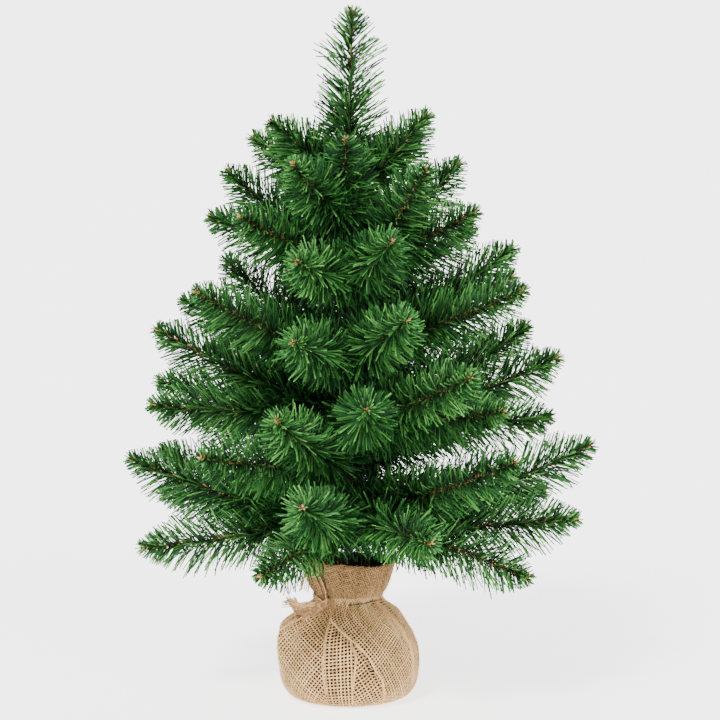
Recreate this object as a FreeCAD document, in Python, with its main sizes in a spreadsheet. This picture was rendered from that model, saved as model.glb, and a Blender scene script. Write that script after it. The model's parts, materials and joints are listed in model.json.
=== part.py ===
import FreeCAD, Part
import math
import os
import Sketcher
from FreeCAD import Placement, Rotation, Vector

# An artificial tabletop tree: a cement weight in a tub, wrapped in a burlap sack whose neck is tied,
# and a steel trunk rod wound with dark tape. Twisted-wire branches with PVC needles are tied to the rod by
# their tails and bend where they leave it.
# Millimetres, +Z up. The origin is on the flat underside, on the trunk's axis. The front is towards -Y.

UP = Vector(0, 0, 1)
PIECES = {}  # node name: document object

doc = FreeCAD.newDocument("tabletop_tree")
sizes = doc.addObject("Spreadsheet::Sheet", "sizes")

DRIVING = {
    # sack
    "cloth_wall": 1.6,
    "sack_foot_radius": 42,
    "sack_corner_radius": 55,
    "sack_corner_height": 7,
    "sack_radius": 60.5,
    "belly_foot_height": 26,
    "belly_middle_height": 45,
    "sack_shoulder_radius": 53,
    "sack_shoulder_height": 62,
    "gather_radius": 33.5,
    "gather_height": 83,
    "neck_radius": 29,
    "neck_height": 87.5,
    "collar_foot_radius": 31,
    "collar_foot_height": 92.5,
    "collar_middle_radius": 34.8,
    "collar_middle_height": 106,
    "rim_radius": 37.5,
    "rim_height": 121,
    "binding_radius": 0.5,
    "knot_side": 26,
    "knot_front": 26.5,
    "knot_radius": 5.5,
    "strip_radius": 2.2,
    # weight
    "tub_wall": 1.2,
    "tub_floor_height": 2,
    "tub_foot_radius": 40,
    "tub_rim_radius": 46,
    "tub_height": 64,
    "block_height": 58,
    "block_shrink": 1,
    "piece_gap": 0.1,
    "socket_radius": 5,
    "socket_height": 80,
    # trunk
    "rod_radius": 2.4,
    "rod_foot_height": 8,
    "socket_floor": 1.4,
    "rod_top_height": 453,
    "tape_radius": 3.3,
    "tape_foot_height": 82,
    "tape_top_height": 452,
    "tie_wall": 0.5,
    "tie_width": 4,
    # branches
    "root_radius": 1.2,
    "root_reach": 4.9,
    "tail_gap": 1,
    "fork_reach": 17,
    "fork_rise": 3,
    "twig_radius": 0.9,
    "needle_radius": 7,
    "needle_slope": 0.085,
    "needle_share": 0.075,
    "needle_start": 9,
    "needle_hole_gap": 0.1,
    # leader
    "leader_root_height": 455.6,
    "leader_tip_height": 599,
    "leader_lean": 3,
    "leader_needle_radius": 11,
}

# Heights of the wire bands that hold the branches' tails on the trunk.
TIE_HEIGHTS = [430, 408, 371, 354, 333, 288, 226, 190, 139]

# Each branch: azimuth and height of its root, then its tips as (azimuth, reach, height, sag). Azimuths are
# in degrees from +X, seen from above; reach is from the trunk's axis; sag is how far the twig's middle
# hangs below the straight line from fork to tip, and a negative sag is an arch.
BRANCHES = [
    (15, 447, [(350, 70, 511, 1), (40, 80, 490, 3)]),
    (174, 447, [(188, 70, 503, -9), (160, 91, 487, 3)]),
    (103, 440, [(105, 45, 509, 2), (70, 85, 478, 3), (135, 88, 474, 3)]),
    (255, 420, [(268, 75, 495, 4), (243, 105, 475, 5)]),
    (88, 395, [(50, 105, 446, 4), (90, 108, 452, 4), (125, 110, 448, 4)]),
    (194, 385, [(186, 107, 462, 4), (175, 123, 420, 5), (222, 125, 429, 5)]),
    (342, 380, [(308, 108, 470, 4), (339, 118, 430, 5), (20, 104, 466, 4)]),
    (269, 365, [(252, 140, 397, 5), (286, 135, 413, 5)]),
    (68, 345, [(35, 135, 405, 5), (68, 138, 398, 6), (100, 138, 408, 5)]),
    (350, 310, [(17, 152, 390, 6), (358, 144, 371, 7), (335, 165, 366, 8)]),
    (175, 300, [(142, 140, 376, 6), (175, 147, 348, 7), (208, 148, 365, 7)]),
    (270, 300, [(253, 160, 332, 6), (288, 160, 351, 6)]),
    (92, 298, [(45, 158, 352, 6), (78, 155, 345, 6), (112, 158, 354, 6), (142, 165, 325, 6)]),
    (88, 252, [(40, 172, 300, 6), (72, 174, 295, 6), (104, 172, 304, 6), (135, 175, 292, 6)]),
    (177, 250, [(184, 168, 326, 7), (192, 176, 263, 6), (158, 184, 268, 6)]),
    (298, 243, [(303, 188, 305, 6), (320, 172, 268, 5), (275, 180, 281, 6)]),
    (10, 235, [(356, 183, 302, 8), (20, 169, 320, 8), (17, 188, 238, 6)]),
    (239, 205, [(250, 175, 270, 6), (228, 185, 234, 6)]),
    (93, 200, [(42, 188, 250, 6), (75, 186, 240, 6), (108, 186, 250, 6), (140, 186, 236, 6)]),
    (305, 165, [(316, 195, 230, 6), (294, 170, 165, 6)]),
    (180, 155, [(162, 177, 210, 8), (184, 192, 214, 9), (191, 184, 138, 5)]),
    (250, 155, [(258, 185, 200, 6), (240, 150, 131, 2)]),
    (345, 150, [(359, 212, 224, 9), (347, 203, 166, 6), (330, 178, 121, -5)]),
    (90, 150, [(22, 190, 170, 5), (58, 186, 165, 5), (92, 185, 172, 5), (125, 186, 165, 5),
               (155, 186, 168, 5)]),
]


def fill_sheet():
    """One row per driving dimension: its name, its value and the alias that the pieces use."""
    for row, (name, value) in enumerate(DRIVING.items(), start=1):
        sizes.set(f"A{row}", name)
        sizes.set(f"B{row}", str(value))
        sizes.setAlias(f"B{row}", name)
    doc.recompute()


def size(alias):
    return float(sizes.get(alias))


def keep(name, piece):
    """Names a finished piece; its label is its node's name."""
    piece.Label = name
    PIECES[name] = piece
    return piece


def keep_shape(name, shape, placement=None):
    """A piece whose form no sketch or primitive gives."""
    piece = doc.addObject("Part::Feature", name)
    piece.Shape = shape
    piece.Placement = placement or Placement()
    return keep(name, piece)


def base_plane(body, role):
    return next(f for f in body.Origin.OriginFeatures if f.Role == role)


def pin_point(sketch, line, axis, expression):
    """Holds a line's start at a distance from the origin along one axis of the sketch."""
    if expression == "0":
        on = -2 if axis == "X" else -1
        sketch.addConstraint(Sketcher.Constraint("PointOnObject", line, 1, on))
        return
    start = sketch.Geometry[line].StartPoint
    distance = start.x if axis == "X" else start.y
    index = sketch.addConstraint(
        Sketcher.Constraint(f"Distance{axis}", -1, 1, line, 1, distance)
    )
    sketch.renameConstraint(index, f"point{line}{axis}")
    sketch.setExpression(f"Constraints.point{line}{axis}", expression)


def value_of(expression):
    """The number that a sum of aliases and numbers stands for, for drawing a sketch near its size."""
    total, sign = 0.0, 1
    for word in expression.split():
        if word in "+-":
            sign = 1 if word == "+" else -1
        elif word.startswith("sizes."):
            total += sign * size(word[len("sizes."):])
        else:
            total += sign * float(word)
    return total


def turned_body(name, outline):
    """A body turned about Z from a closed outline of (radius, height) corners, each an expression."""
    body = doc.addObject("PartDesign::Body", name)
    sketch = body.newObject("Sketcher::SketchObject", f"{name}_outline")
    sketch.AttachmentSupport = [(base_plane(body, "XZ_Plane"), "")]
    sketch.MapMode = "FlatFace"
    corners = [Vector(value_of(r), value_of(z), 0) for r, z in outline]
    for i, corner in enumerate(corners):
        following = corners[(i + 1) % len(corners)]
        sketch.addGeometry(Part.LineSegment(corner, following), False)
    for i in range(len(corners)):
        sketch.addConstraint(Sketcher.Constraint("Coincident", i, 2, (i + 1) % len(corners), 1))
    for i, (radius, height) in enumerate(outline):
        pin_point(sketch, i, "X", radius)
        pin_point(sketch, i, "Y", height)
    turn = body.newObject("PartDesign::Revolution", f"{name}_turn")
    turn.Profile = sketch
    turn.ReferenceAxis = (sketch, ["V_Axis"])
    turn.Angle = 360
    body.Tip = turn
    return keep(name, body)


def tangent_path(points):
    """Straight runs joined by tangent arcs; an arc's tangents take 0.45 of the shorter run beside it."""
    edges, start = [], points[0]
    for before, corner, after in zip(points, points[1:], points[2:]):
        back, ahead = before - corner, after - corner
        tangent = 0.45 * min(back.Length, ahead.Length)
        back.normalize()
        ahead.normalize()
        if math.pi - back.getAngle(ahead) < 1e-3:
            continue
        arc_start, arc_end = corner + back * tangent, corner + ahead * tangent
        middle_way = back + ahead
        middle_way.normalize()
        half_turn = (math.pi - back.getAngle(ahead)) / 2
        radius = tangent / math.tan(half_turn)
        arc_middle = corner + middle_way * (radius / math.cos(half_turn) - radius)
        edges.append(Part.LineSegment(start, arc_start).toShape())
        edges.append(Part.Arc(arc_start, arc_middle, arc_end).toShape())
        start = arc_end
    edges.append(Part.LineSegment(start, points[-1]).toShape())
    return Part.Wire(edges)


def ring_at(centre, direction, radius):
    """A circle square to a direction, turned there from +Z so that neighbouring rings line up."""
    ring = Part.Wire(Part.makeCircle(radius))
    ring.Placement = Placement(centre, Rotation(UP, direction))
    return ring


def tube(path, radius):
    first = path.Edges[0]
    ring = ring_at(first.Vertexes[0].Point, first.tangentAt(first.FirstParameter), radius)
    return path.makePipeShell([ring], True, True)


def along(path, distance):
    """The point and direction at a distance down a path."""
    for edge in path.Edges:
        if distance <= edge.Length or edge is path.Edges[-1]:
            at = edge.getParameterByLength(min(distance, edge.Length))
            return edge.valueAt(at), edge.tangentAt(at)
        distance -= edge.Length


def ball(centre, radius):
    return Part.makeSphere(radius, centre)


def polar(azimuth, reach, height):
    angle = math.radians(azimuth)
    return Vector(reach * math.cos(angle), reach * math.sin(angle), height)


def needle_brush(path, widest):
    """The closed bulk of the needles round a stem: thin at its root, widest past its middle, pointed at its
    tip, and open down the middle for the stem."""
    start, length = size("needle_start"), path.Length
    stem = size("twig_radius") + size("needle_hole_gap")
    thin = stem + 0.5
    widest = min(widest, size("needle_share") * length)
    end = length - 1
    widen = min(start + (widest - thin) / size("needle_slope"), 0.5 * length)
    stations = [
        (start, thin),
        ((start + widen) / 2, (thin + widest) / 2),
        (widen, widest),
        (0.45 * widen + 0.55 * end, 0.9 * widest),
        (end, thin),
    ]
    rings = [ring_at(*along(path, distance), radius) for distance, radius in stations]
    return Part.makeLoft(rings, True, False).cut(tube(path, stem))


# Base


def make_sack():
    """A closed cloth shell with a gathered neck; above it the hem is folded in, so the wall doubles."""
    wall = size("cloth_wall")

    def place(name, inset_in, inset_up=0):
        """A named corner of the outline, moved in and up for the inner face."""
        return Vector(size(f"{name}_radius") - inset_in, 0, size(f"{name}_height") + inset_up)

    def half_section(inset, hem):
        axis, rim_z = Vector(0, 0, inset), size("rim_height")
        floor = Vector(size("sack_foot_radius") - 0.5 * inset, 0, inset)
        corner = place("sack_corner", 0.8 * inset, 0.6 * inset)
        low = Vector(size("sack_radius") - inset, 0, size("belly_foot_height"))
        belly = Vector(size("sack_radius") - inset, 0, size("belly_middle_height"))
        bend = place("sack_shoulder", inset, -0.5 * inset)
        gather = place("gather", 0.7 * inset, -0.7 * inset)
        neck = place("neck", 0.5 * (inset + hem))
        collar = place("collar_foot", hem)
        middle = place("collar_middle", hem)
        top = place("rim", hem)
        edges = [
            Part.LineSegment(axis, floor),
            Part.Arc(floor, corner, low),
            Part.Arc(low, belly, bend),
            Part.LineSegment(bend, gather),
            Part.Arc(gather, neck, collar),
            Part.Arc(collar, middle, top),
            Part.LineSegment(top, Vector(0, 0, rim_z)),
            Part.LineSegment(Vector(0, 0, rim_z), axis),
        ]
        return Part.Face(Part.Wire([e.toShape() for e in edges]))

    outside = half_section(0, 0).revolve(Vector(), UP, 360)
    inside = half_section(wall, 2 * wall).revolve(Vector(), UP, 360)
    keep_shape("burlap_sack", outside.cut(inside))


def make_neck_binding():
    binding = doc.addObject("Part::Torus", "neck_binding")
    binding.setExpression("Radius1", "sizes.neck_radius + sizes.binding_radius + sizes.piece_gap")
    binding.setExpression("Radius2", "sizes.binding_radius")
    binding.setExpression("Placement.Base.z", "sizes.neck_height")
    keep("neck_binding", binding)


def make_burlap_knot():
    """A burlap strip knotted at the front left of the neck: one frayed end lies out to the left over the
    shoulder, the other rises beside the collar and turns over."""
    knot_place = Vector(-size("knot_side"), -size("knot_front"), size("neck_height"))
    left_end = [Vector(), Vector(-12, 3, -4), Vector(-21, 9, -6), Vector(-27, 12, 2)]
    rising_end = [Vector(), Vector(-5, 0, 12), Vector(-11, 3, 22), Vector(-17, 6, 15)]
    knot = ball(Vector(), size("knot_radius"))
    for route in (left_end, rising_end):
        knot = knot.fuse(tube(tangent_path(route), size("strip_radius")))
    keep_shape("burlap_knot", knot, Placement(knot_place, Rotation()))


def make_weight():
    turned_body("weight_tub", [
        ("0", "sizes.tub_floor_height"),
        ("sizes.tub_foot_radius", "sizes.tub_floor_height"),
        ("sizes.tub_rim_radius", "sizes.tub_height"),
        ("sizes.tub_rim_radius - sizes.tub_wall", "sizes.tub_height"),
        ("sizes.tub_foot_radius - sizes.tub_wall", "sizes.tub_floor_height + sizes.tub_wall"),
        ("0", "sizes.tub_floor_height + sizes.tub_wall"),
    ])
    block_floor = "sizes.tub_floor_height + sizes.tub_wall + sizes.piece_gap"
    rod_seat = "sizes.rod_foot_height - sizes.piece_gap"
    socket_foot = f"{rod_seat} - sizes.socket_floor"
    turned_body("weight_block", [
        ("0", block_floor),
        ("sizes.tub_foot_radius - sizes.tub_wall - sizes.piece_gap", block_floor),
        ("sizes.tub_rim_radius - sizes.tub_wall - sizes.block_shrink", "sizes.block_height"),
        ("sizes.socket_radius + sizes.piece_gap", "sizes.block_height"),
        ("sizes.socket_radius + sizes.piece_gap", f"{socket_foot} - sizes.piece_gap"),
        ("0", f"{socket_foot} - sizes.piece_gap"),
    ])
    turned_body("trunk_socket", [
        ("0", socket_foot),
        ("sizes.socket_radius", socket_foot),
        ("sizes.socket_radius", "sizes.socket_height"),
        ("sizes.rod_radius + sizes.piece_gap", "sizes.socket_height"),
        ("sizes.rod_radius + sizes.piece_gap", rod_seat),
        ("0", rod_seat),
    ])


# Trunk


def make_trunk():
    rod = doc.addObject("Part::Cylinder", "trunk_rod")
    rod.setExpression("Radius", "sizes.rod_radius")
    rod.setExpression("Height", "sizes.rod_top_height - sizes.rod_foot_height")
    rod.setExpression("Placement.Base.z", "sizes.rod_foot_height")
    keep("trunk_rod", rod)
    turned_body("trunk_tape", [
        ("sizes.rod_radius + sizes.piece_gap", "sizes.tape_foot_height"),
        ("sizes.tape_radius", "sizes.tape_foot_height"),
        ("sizes.tape_radius", "sizes.tape_top_height"),
        ("sizes.rod_radius + sizes.piece_gap", "sizes.tape_top_height"),
    ])


def make_branch_ties():
    """Identical wire bands round the trunk and the branches' tails."""
    inner = "sizes.root_reach + sizes.root_radius + sizes.piece_gap"
    bands = []
    for number, height in enumerate(TIE_HEIGHTS, start=1):
        outside = doc.addObject("Part::Cylinder", f"tie_outside_{number}")
        outside.setExpression("Radius", f"{inner} + sizes.tie_wall")
        inside = doc.addObject("Part::Cylinder", f"tie_inside_{number}")
        inside.setExpression("Radius", inner)
        for cylinder in (outside, inside):
            cylinder.setExpression("Height", "sizes.tie_width")
        band = doc.addObject("Part::Cut", f"tie_{number}")
        band.Base, band.Tool = outside, inside
        band.Placement = Placement(Vector(0, 0, height), Rotation())
        bands.append(band)
    group = doc.addObject("Part::Compound", "branch_ties")
    group.Links = bands
    keep("branch_ties", group)


def make_branch_tails():
    """The fixed end of each branch's wires, lying against the trunk down to the tie below its root."""
    radius, tails = size("root_radius"), []
    for azimuth, root_height, _ in BRANCHES:
        tie = max(h for h in TIE_HEIGHTS if h < root_height - 8)
        top = root_height - 2 * radius - size("tail_gap")
        foot = tie - 4
        place = polar(azimuth, size("root_reach"), foot)
        tail = Part.makeCylinder(radius, top - foot, place)
        tails.append(tail.fuse(ball(place + UP * (top - foot), radius)).removeSplitter())
    keep_shape("branch_tails", Part.makeCompound(tails))


# Branches and leader


def make_branch(number, azimuth, root_height, tips):
    """A branch in its own frame: its root at the origin, leaving the trunk along +X."""
    root = polar(azimuth, size("root_reach"), root_height)
    outward = Placement(root, Rotation(UP, azimuth))
    fork = Vector(size("fork_reach") - size("root_reach"), 0, size("fork_rise"))
    wire = tube(tangent_path([Vector(), fork]), size("root_radius"))
    wire = wire.fuse([ball(Vector(), size("root_radius")), ball(fork, size("root_radius"))])
    brushes = []
    for tip_azimuth, reach, height, sag in tips:
        tip = outward.inverse().multVec(polar(tip_azimuth, reach, height))
        middle = (fork + tip) * 0.5 - UP * sag
        path = tangent_path([fork, middle, tip])
        wire = wire.fuse(tube(path, size("twig_radius")))
        brushes.append(needle_brush(path, size("needle_radius")))
    keep_shape(f"branch_{number:02d}_wire", wire, outward)
    keep_shape(f"branch_{number:02d}_needles", Part.makeCompound(brushes), outward)


def make_leader():
    """The upright tip of the tree, which bends at the top of the trunk rod."""
    root = Placement(Vector(0, 0, size("leader_root_height")), Rotation())
    tip = Vector(size("leader_lean"), 0, size("leader_tip_height") - size("leader_root_height"))
    path = tangent_path([Vector(), Vector(-0.5, 0, 0.55 * tip.z), tip])
    wire = tube(path, size("twig_radius")).fuse(ball(Vector(), size("root_radius")))
    keep_shape("leader_wire", wire, root)
    keep_shape("leader_needles", needle_brush(path, size("leader_needle_radius")), root)


def check_and_write():
    doc.recompute()
    for item in doc.Objects:
        if {"Invalid", "Error"} & set(item.State):
            raise RuntimeError(f"{item.Label} is {item.State}")
    for name, piece in PIECES.items():
        if piece.Shape.isNull() or not piece.Shape.isValid() or not piece.Shape.Solids:
            raise RuntimeError(f"{name} has no valid solid")
    os.makedirs("parts", exist_ok=True)
    for name, piece in PIECES.items():
        piece.Shape.exportStep(f"parts/{name}.step")
    print(len(PIECES), "pieces,", sum(len(p.Shape.Solids) for p in PIECES.values()), "solids")


fill_sheet()
make_sack()
make_neck_binding()
make_burlap_knot()
make_weight()
make_trunk()
make_branch_ties()
make_branch_tails()
for number, (azimuth, root_height, tips) in enumerate(BRANCHES, start=1):
    make_branch(number, azimuth, root_height, tips)
make_leader()
check_and_write()
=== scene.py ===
"""Looks of the artificial tabletop tree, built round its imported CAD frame.

Inside this script lengths are millimetres, in the frame's own axes; to_mesh() turns them into metres.
"""

import json
import math

import bpy
import numpy as np
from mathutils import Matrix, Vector


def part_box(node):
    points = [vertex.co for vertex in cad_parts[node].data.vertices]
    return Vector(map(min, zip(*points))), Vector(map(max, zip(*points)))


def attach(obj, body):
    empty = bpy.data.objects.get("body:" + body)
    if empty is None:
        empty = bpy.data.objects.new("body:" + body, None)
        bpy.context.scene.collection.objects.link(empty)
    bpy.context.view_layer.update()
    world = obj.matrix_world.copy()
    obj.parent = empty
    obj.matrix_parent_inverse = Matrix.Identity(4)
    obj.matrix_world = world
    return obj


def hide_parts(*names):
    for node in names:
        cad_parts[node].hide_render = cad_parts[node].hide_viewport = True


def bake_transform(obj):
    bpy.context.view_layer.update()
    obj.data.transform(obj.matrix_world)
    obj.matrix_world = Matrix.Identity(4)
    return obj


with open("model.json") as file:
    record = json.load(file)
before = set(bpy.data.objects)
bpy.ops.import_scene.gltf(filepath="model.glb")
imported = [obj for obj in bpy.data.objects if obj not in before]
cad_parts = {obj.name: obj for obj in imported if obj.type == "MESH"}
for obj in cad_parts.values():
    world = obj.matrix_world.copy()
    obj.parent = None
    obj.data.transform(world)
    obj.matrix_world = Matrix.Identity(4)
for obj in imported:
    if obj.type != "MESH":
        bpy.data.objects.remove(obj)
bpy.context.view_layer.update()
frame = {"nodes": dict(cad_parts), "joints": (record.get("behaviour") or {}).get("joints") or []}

MM = 0.001
SEED = 20
UP = np.array([0.0, 0.0, 1.0])


# Camera


VIEW_ELEVATION = math.radians(8)
VIEW_DISTANCE = 3.0
VIEW_CENTRE = Vector((0.0094, 0, 0.2955))
VIEW_WIDTH = 0.619


def make_camera():
    """A long lens in front of the tree, a little above it, that takes in VIEW_WIDTH at the trunk."""
    data = bpy.data.cameras.new("view_camera")
    data.sensor_width = 36
    data.lens = data.sensor_width * VIEW_DISTANCE / VIEW_WIDTH
    camera = bpy.data.objects.new("view_camera", data)
    bpy.context.scene.collection.objects.link(camera)
    back = Vector((0, -math.cos(VIEW_ELEVATION), math.sin(VIEW_ELEVATION)))
    camera.location = VIEW_CENTRE + back * VIEW_DISTANCE
    camera.rotation_mode = "QUATERNION"
    camera.rotation_quaternion = (-back).to_track_quat("-Z", "Y")
    bpy.context.scene.camera = camera


# Materials


def principled(name, roughness=0.6, **sockets):
    """A new material with its Principled shader, and the sockets that are the same all over it."""
    material = bpy.data.materials.new(name)
    material.use_nodes = True
    shader = material.node_tree.nodes["Principled BSDF"]
    shader.inputs["Roughness"].default_value = roughness
    for socket, value in sockets.items():
        shader.inputs[socket.replace("_", " ")].default_value = value
    return material, material.node_tree, shader


def add(tree, kind, **values):
    """A shader node, with its properties by name and its sockets' values by name."""
    node = tree.nodes.new(kind)
    for name, value in values.items():
        if hasattr(node, name):
            setattr(node, name, value)
        else:
            node.inputs[name.replace("_", " ")].default_value = value
    return node


def ramp(tree, source, stops):
    """Colours at places from 0 to 1, looked up by a source socket."""
    node = tree.nodes.new("ShaderNodeValToRGB")
    elements = node.color_ramp.elements
    while len(elements) < len(stops):
        elements.new(0.5)
    for element, (place, colour) in zip(elements, stops):
        element.position = place
        element.color = (*colour, 1)
    tree.links.new(source, node.inputs["Fac"])
    return node.outputs["Color"]


def noise(tree, scale, detail=3.0, stretch=(1, 1, 1)):
    """A noise value that is fixed to the piece's own shape."""
    place = tree.nodes.new("ShaderNodeTexCoord")
    mapping = add(tree, "ShaderNodeMapping")
    mapping.inputs["Scale"].default_value = stretch
    node = add(tree, "ShaderNodeTexNoise", Scale=scale, Detail=detail)
    tree.links.new(place.outputs["Object"], mapping.inputs["Vector"])
    tree.links.new(mapping.outputs["Vector"], node.inputs["Vector"])
    return node.outputs["Fac"]


def attribute(tree, name):
    return add(tree, "ShaderNodeAttribute", attribute_name=name).outputs["Fac"]


def mix_colour(tree, share, first, second, blend="MIX"):
    node = add(tree, "ShaderNodeMix", data_type="RGBA", blend_type=blend)
    for source, socket in ((share, "Factor"), (first, "A"), (second, "B")):
        target = [s for s in node.inputs if s.name == socket and s.enabled][0]
        if isinstance(source, (int, float)):
            target.default_value = source
        else:
            tree.links.new(source, target)
    return [s for s in node.outputs if s.enabled][0]


def bump(tree, shader, source, strength, distance_mm):
    node = add(tree, "ShaderNodeBump", Strength=strength, Distance=distance_mm * MM)
    tree.links.new(source, node.inputs["Height"])
    tree.links.new(node.outputs["Normal"], shader.inputs["Normal"])


def vary_roughness(tree, shader, source, low, high):
    spread = add(tree, "ShaderNodeMapRange", To_Min=low, To_Max=high)
    tree.links.new(source, spread.inputs["Value"])
    tree.links.new(spread.outputs["Result"], shader.inputs["Roughness"])


def needle_material():
    """Calendered PVC strip: mostly one mid green, some strips darker; painted shade darkens each strip
    towards its root, in the thick of its burst, and it grows paler towards its tip.
    """
    material, tree, shader = principled("needle_pvc", Specular_IOR_Level=0.2)
    tones = ramp(tree, attribute(tree, "tone"), [
        (0.0, (0.003, 0.020, 0.006)),
        (0.25, (0.010, 0.066, 0.014)),
        (0.6, (0.033, 0.165, 0.031)),
        (1.0, (0.125, 0.370, 0.085)),
    ])
    # Painted shade: each strip darker towards its root, paler towards its tip.
    ends = ramp(tree, attribute(tree, "reach"), [
        (0.0, (0.2, 0.2, 0.2)),
        (0.45, (0.7, 0.7, 0.7)),
        (1.0, (1.25, 1.2, 1.15)),
    ])
    shaded = mix_colour(tree, 1.0, tones, ends, "MULTIPLY")
    blotch = ramp(tree, noise(tree, 60), [(0.3, (0.8, 0.85, 0.85)), (0.7, (1.15, 1.1, 1.0))])
    tree.links.new(mix_colour(tree, 1.0, shaded, blotch, "MULTIPLY"), shader.inputs["Base Color"])
    vary_roughness(tree, shader, noise(tree, 400), 0.42, 0.62)
    bump(tree, shader, noise(tree, 900), 0.25, 0.2)
    return material


def stem_material():
    """Twisted wire under brown PVC film, with orange-brown flecks of the film standing out of it."""
    material, tree, shader = principled("stem_film")
    dark = ramp(tree, noise(tree, 700), [(0.3, (0.006, 0.014, 0.005)), (0.7, (0.038, 0.036, 0.013))])
    flecks = ramp(tree, attribute(tree, "tone"), [
        (0.0, (0.14, 0.075, 0.020)),
        (0.5, (0.46, 0.27, 0.080)),
        (1.0, (0.85, 0.58, 0.24)),
    ])
    colour = mix_colour(tree, attribute(tree, "fleck"), dark, flecks)
    tree.links.new(colour, shader.inputs["Base Color"])
    vary_roughness(tree, shader, noise(tree, 500), 0.4, 0.7)
    bump(tree, shader, noise(tree, 1500), 0.4, 0.2)
    return material


def burlap_material(name, shades, sheen, fibre_scale=1500):
    """Jute yarn: tan, mottled from yarn to yarn, with fine fibres along it."""
    material, tree, shader = principled(name, roughness=0.95, Specular_IOR_Level=0.15, Sheen_Weight=sheen,
                                        Sheen_Roughness=0.6)
    base = ramp(tree, attribute(tree, "tone"), shades)
    fibres = ramp(tree, noise(tree, fibre_scale, 4, (1, 1, 2.5)), [
        (0.25, (0.62, 0.58, 0.52)),
        (0.55, (1.0, 1.0, 1.0)),
        (0.8, (1.25, 1.22, 1.16)),
    ])
    patches = ramp(tree, noise(tree, 35), [(0.3, (0.88, 0.86, 0.84)), (0.7, (1.08, 1.08, 1.08))])
    colour = mix_colour(tree, 1.0, mix_colour(tree, 1.0, base, fibres, "MULTIPLY"), patches, "MULTIPLY")
    tree.links.new(colour, shader.inputs["Base Color"])
    vary_roughness(tree, shader, noise(tree, 600), 0.85, 1.0)
    bump(tree, shader, noise(tree, fibre_scale, 4, (1, 1, 2.5)), 0.7, 0.35)
    return material


YARN_SHADES = [(0.0, (0.27, 0.145, 0.052)), (0.5, (0.68, 0.42, 0.172)), (1.0, (0.93, 0.66, 0.32))]
# The colours of the sheet under the yarns, which is painted shade between them.
SHADE_SHEET_COLOURS = [(0.0, (0.010, 0.005, 0.002)), (0.5, (0.07, 0.034, 0.013)), (1.0, (0.30, 0.175, 0.075))]
STRIP_SHADES = [(0.0, (0.14, 0.065, 0.022)), (0.5, (0.38, 0.215, 0.085)), (1.0, (0.74, 0.50, 0.24))]


def mottled_material(name, stops, scale, roughness=(0.4, 0.7), metal=0.0, relief=(0.3, 0.3),
                     stretch=(1, 1, 1)):
    """Two or more colours mottled over a part, with roughness and relief from the same grain."""
    material, tree, shader = principled(name, Metallic=metal)
    grain = noise(tree, scale, 4, stretch)
    tree.links.new(ramp(tree, grain, stops), shader.inputs["Base Color"])
    vary_roughness(tree, shader, noise(tree, scale * 3), *roughness)
    bump(tree, shader, grain, *relief)
    return material


def floor_material():
    """A pale studio floor that glows a little, as a lit white sweep does."""
    material, tree, shader = principled("pale_floor", Emission_Color=(1, 1, 1, 1), Emission_Strength=2.5)
    tree.links.new(ramp(tree, noise(tree, 3), [(0.3, (0.88, 0.88, 0.88)), (0.7, (0.92, 0.92, 0.92))]),
                   shader.inputs["Base Color"])
    vary_roughness(tree, shader, noise(tree, 8), 0.8, 0.95)
    return material


def make_materials():
    return {
        "needles": needle_material(),
        "stem": stem_material(),
        "yarn": burlap_material("jute_yarn", YARN_SHADES, 0.1),
        "shade_sheet": burlap_material("jute_shade", SHADE_SHEET_COLOURS, 0.0),
        "strip": burlap_material("jute_strip", STRIP_SHADES, 0.1),
        "thread": mottled_material(
            "dark_thread", [(0.3, (0.02, 0.02, 0.025)), (0.7, (0.09, 0.085, 0.08))], 1800, (0.7, 0.9)),
        "tape": mottled_material(
            "trunk_tape", [(0.3, (0.004, 0.003, 0.006)), (0.7, (0.014, 0.009, 0.018))], 220, (0.35, 0.55)),
        "wire": mottled_material(
            "dark_wire", [(0.3, (0.02, 0.022, 0.014)), (0.7, (0.07, 0.06, 0.04))], 500, (0.35, 0.6), 0.6),
        "steel": mottled_material(
            "rod_steel", [(0.3, (0.28, 0.28, 0.29)), (0.7, (0.42, 0.42, 0.43))], 300, (0.25, 0.45), 1.0,
            (0.2, 0.1), (1, 1, 0.1)),
        "tub": mottled_material(
            "tub_plastic", [(0.3, (0.035, 0.022, 0.013)), (0.7, (0.07, 0.045, 0.028))], 160, (0.45, 0.65)),
        "cement": mottled_material(
            "cement", [(0.25, (0.16, 0.15, 0.135)), (0.75, (0.38, 0.36, 0.33))], 240, (0.85, 1.0), 0.0,
            (0.8, 0.8)),
        "socket": mottled_material(
            "socket_plastic", [(0.3, (0.48, 0.45, 0.42)), (0.7, (0.58, 0.55, 0.51))], 200, (0.4, 0.6)),
        "floor": floor_material(),
    }


# Mesh making


def to_mesh(name, points, quads, material, **values):
    """A smooth mesh object from points in millimetres, with one number per point for each named value."""
    mesh = bpy.data.meshes.new(name)
    points, quads = np.asarray(points, float).reshape(-1, 3), np.asarray(quads, int).reshape(-1, 4)
    mesh.vertices.add(len(points))
    mesh.vertices.foreach_set("co", (points * MM).astype(np.float32).ravel())
    mesh.loops.add(quads.size)
    mesh.loops.foreach_set("vertex_index", quads.ravel())
    mesh.polygons.add(len(quads))
    mesh.polygons.foreach_set("loop_start", np.arange(0, quads.size, 4))
    mesh.update(calc_edges=True)
    mesh.shade_smooth()
    for value_name, numbers in values.items():
        layer = mesh.attributes.new(value_name, "FLOAT", "POINT")
        layer.data.foreach_set("value", np.asarray(numbers, np.float32).ravel())
    mesh.materials.append(material)
    piece = bpy.data.objects.new(name, mesh)
    bpy.context.scene.collection.objects.link(piece)
    return piece


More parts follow.
